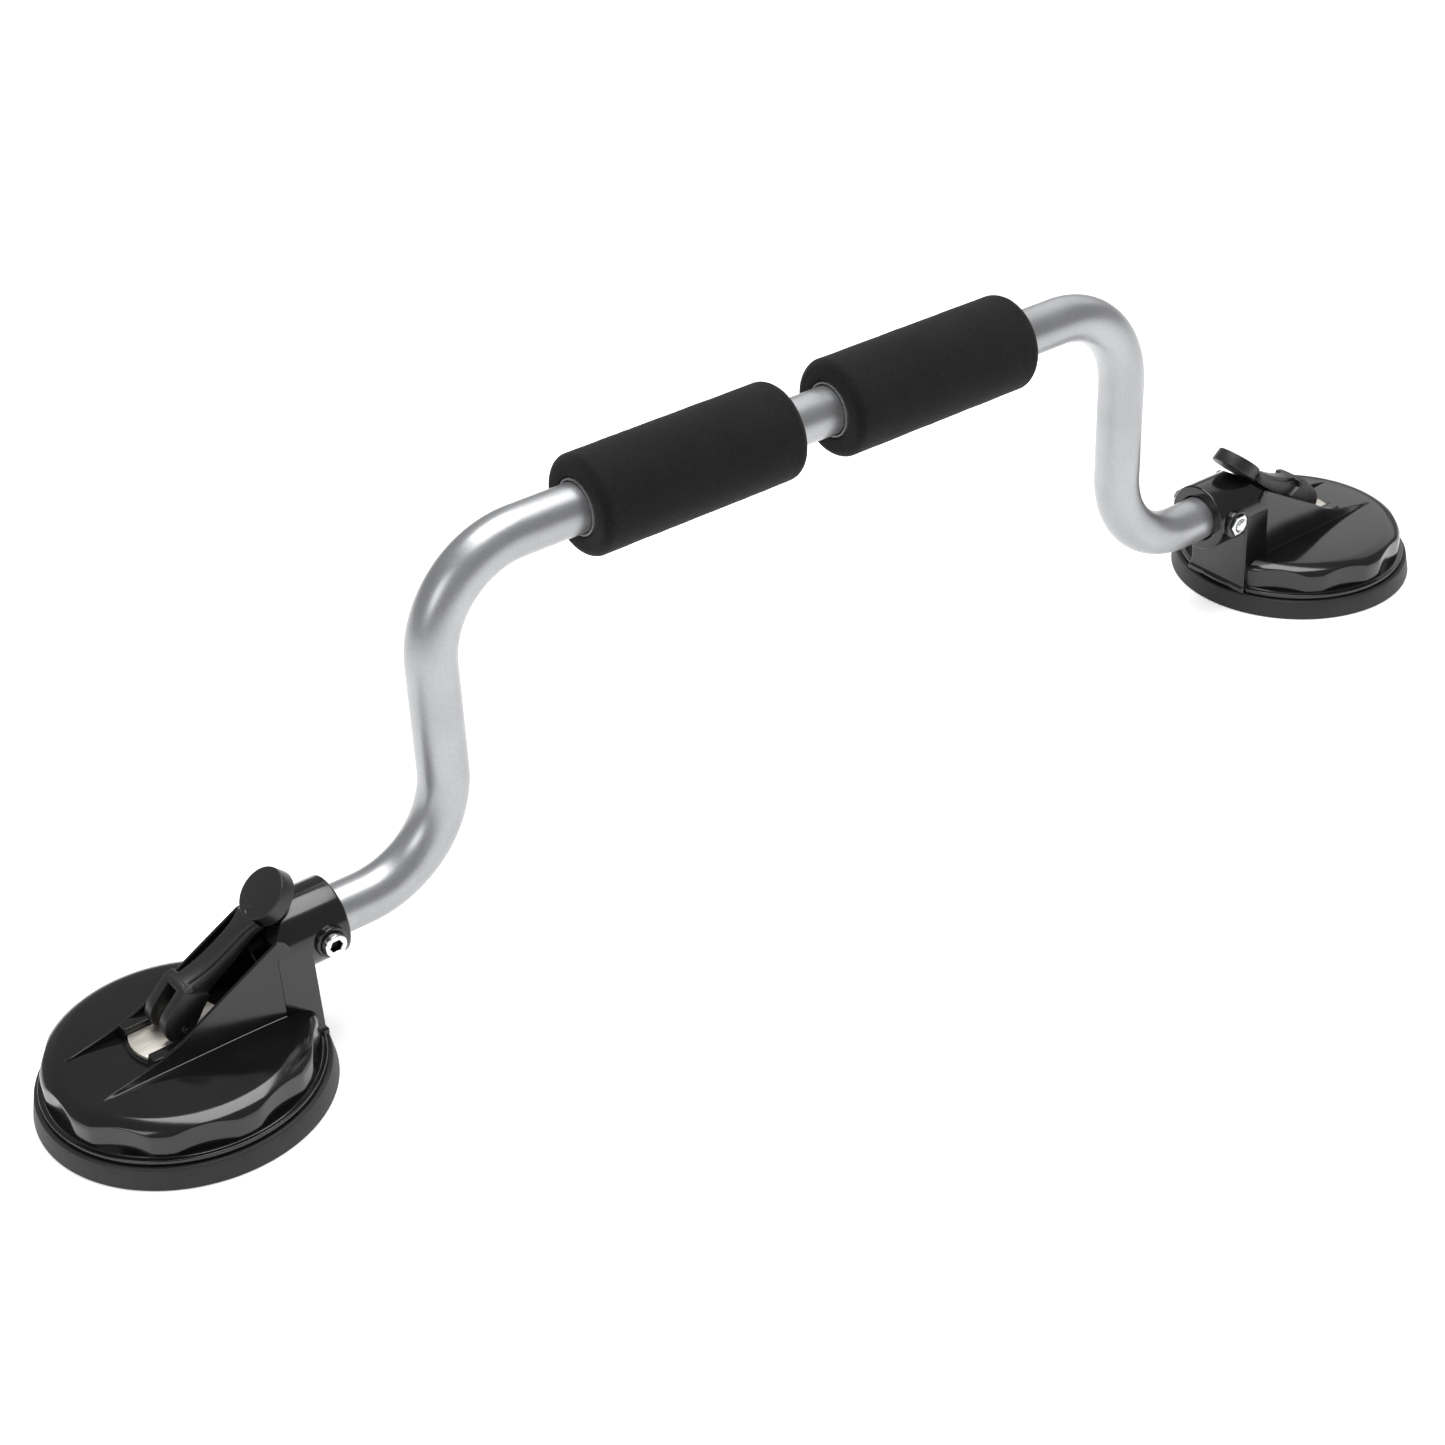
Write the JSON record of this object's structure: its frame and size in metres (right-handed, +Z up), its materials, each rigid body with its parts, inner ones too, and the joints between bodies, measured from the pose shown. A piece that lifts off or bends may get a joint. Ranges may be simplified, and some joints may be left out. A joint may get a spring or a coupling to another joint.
{
  "type": "suction mounted grip bar",
  "caption": "Bent tube grip bar with foam rollers on its top run, held at each end by a lever-operated suction cup.",
  "frame": {"origin": "midway between the two suction cups, on the surface that the pads stand on", "axes": "+X along the bar from the left cup to the right cup, +Z up away from the surface, +Y across the bar"},
  "size_m": [0.781, 0.123, 0.214],
  "materials": {
    "tube": "satin silver paint on steel tube",
    "foam": "matt closed-cell foam",
    "liner": "plain extruded plastic",
    "housing": "glossy moulded ABS",
    "pad": "smooth moulded rubber",
    "plate": "satin zinc plated steel",
    "stud": "zinc plated steel",
    "lever": "fine textured glass-filled nylon",
    "fastener": "bright zinc plate"
  },
  "bodies": {
    "frame": {"bar_tube": "tube", "cup_housing_left": "housing", "cup_housing_right": "housing", "suction_pad_left": "pad", "suction_pad_right": "pad", "wear_plate_left": "plate", "wear_plate_right": "plate", "clamp_screw_left": "fastener", "clamp_screw_right": "fastener", "clamp_nut_left": "fastener", "clamp_nut_right": "fastener"},
    "roller_left": {"foam_roller_left": "foam", "roller_liner_left": "liner"},
    "roller_right": {"foam_roller_right": "foam", "roller_liner_right": "liner"},
    "stud_left": {"pull_stud_left": "stud", "lift_plate_left": "stud", "lever_pin_left": "stud"},
    "stud_right": {"pull_stud_right": "stud", "lift_plate_right": "stud", "lever_pin_right": "stud"},
    "lever_left": {"cam_lever_left": "lever"},
    "lever_right": {"cam_lever_right": "lever"}
  },
  "joints": [
    {"name": "roller_left_spin", "type": "hinge", "parent": "frame", "child": "roller_left", "pos_m": [-0.067, 0, 0.1917], "axis": [1, 0, 0], "continuous": true},
    {"name": "roller_right_spin", "type": "hinge", "parent": "frame", "child": "roller_right", "pos_m": [0.067, 0, 0.1917], "axis": [1, 0, 0], "continuous": true},
    {"name": "stud_left_lift", "type": "slide", "parent": "frame", "child": "stud_left", "axis": [0, 0, 1], "range_m": [0, 0.0065]},
    {"name": "stud_right_lift", "type": "slide", "parent": "frame", "child": "stud_right", "axis": [0, 0, 1], "range_m": [0, 0.0065]},
    {"name": "lever_left_throw", "type": "hinge", "parent": "stud_left", "child": "lever_left", "pos_m": [-0.329, 0, 0.0353], "axis": [0, -1, 0], "range_deg": [0, 135]},
    {"name": "lever_right_throw", "type": "hinge", "parent": "stud_right", "child": "lever_right", "pos_m": [0.329, 0, 0.0353], "axis": [0, 1, 0], "range_deg": [0, 135]}
  ],
  "couplings": [
    {"joint": "stud_left_lift", "follows": "lever_left_throw", "m_per_rad": 0.002758},
    {"joint": "stud_right_lift", "follows": "lever_right_throw", "m_per_rad": 0.002758}
  ]
}
